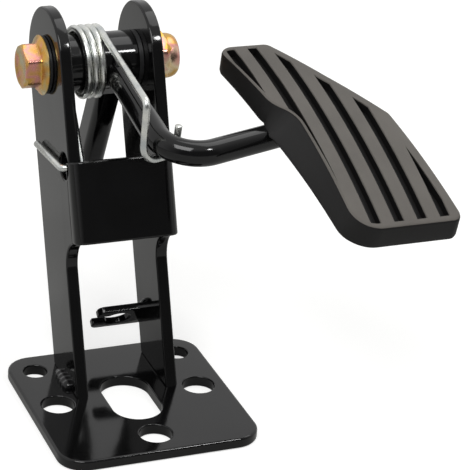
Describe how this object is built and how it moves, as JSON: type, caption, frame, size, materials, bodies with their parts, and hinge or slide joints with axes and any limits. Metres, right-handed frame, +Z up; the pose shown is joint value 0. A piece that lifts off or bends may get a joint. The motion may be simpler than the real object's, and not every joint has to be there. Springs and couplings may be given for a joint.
{
  "type": "accelerator pedal",
  "caption": "Floor-mounted accelerator pedal: welded base plate and folded bracket, pivoting bent rod arm with ribbed rubber pad, cable lever and torsion return spring.",
  "frame": {"origin": "midway between the two side holes of the base plate, on its underside", "axes": "+Z up from the floor, +X to the driver's right, towards the pad's free side, +Y away from the driver"},
  "size_m": [0.1247, 0.1451, 0.1326],
  "materials": {
    "black_paint": "gloss",
    "yellow_zinc": "satin",
    "bright_zinc": "satin",
    "nylon": "matte",
    "rubber": "satin"
  },
  "bodies": {
    "stand": {"base_plate": "black_paint", "bracket": "black_paint", "left_leg_weld": "black_paint", "right_leg_weld": "black_paint", "cable_fork": "black_paint", "fork_weld": "black_paint", "pivot_bolt": "yellow_zinc", "lock_nut": "yellow_zinc", "nut_insert": "nylon", "spacer_sleeve": "bright_zinc", "return_spring": "bright_zinc"},
    "pedal": {"pivot_tube": "black_paint", "left_bush": "nylon", "right_bush": "nylon", "pedal_arm": "black_paint", "arm_weld": "black_paint", "cable_lever": "black_paint", "lever_weld": "black_paint", "pad_plate": "black_paint", "rubber_pad": "rubber", "pad_weld": "black_paint"}
  },
  "joints": [
    {"name": "pedal_pivot", "type": "hinge", "parent": "stand", "child": "pedal", "pos_m": [0, 0.04995, 0.11237], "axis": [1, 0, 0], "range_deg": [0, 18], "stiffness_Nm_per_rad": 1.65, "springref_deg": -40.11, "deforming": ["return_spring"]}
  ]
}
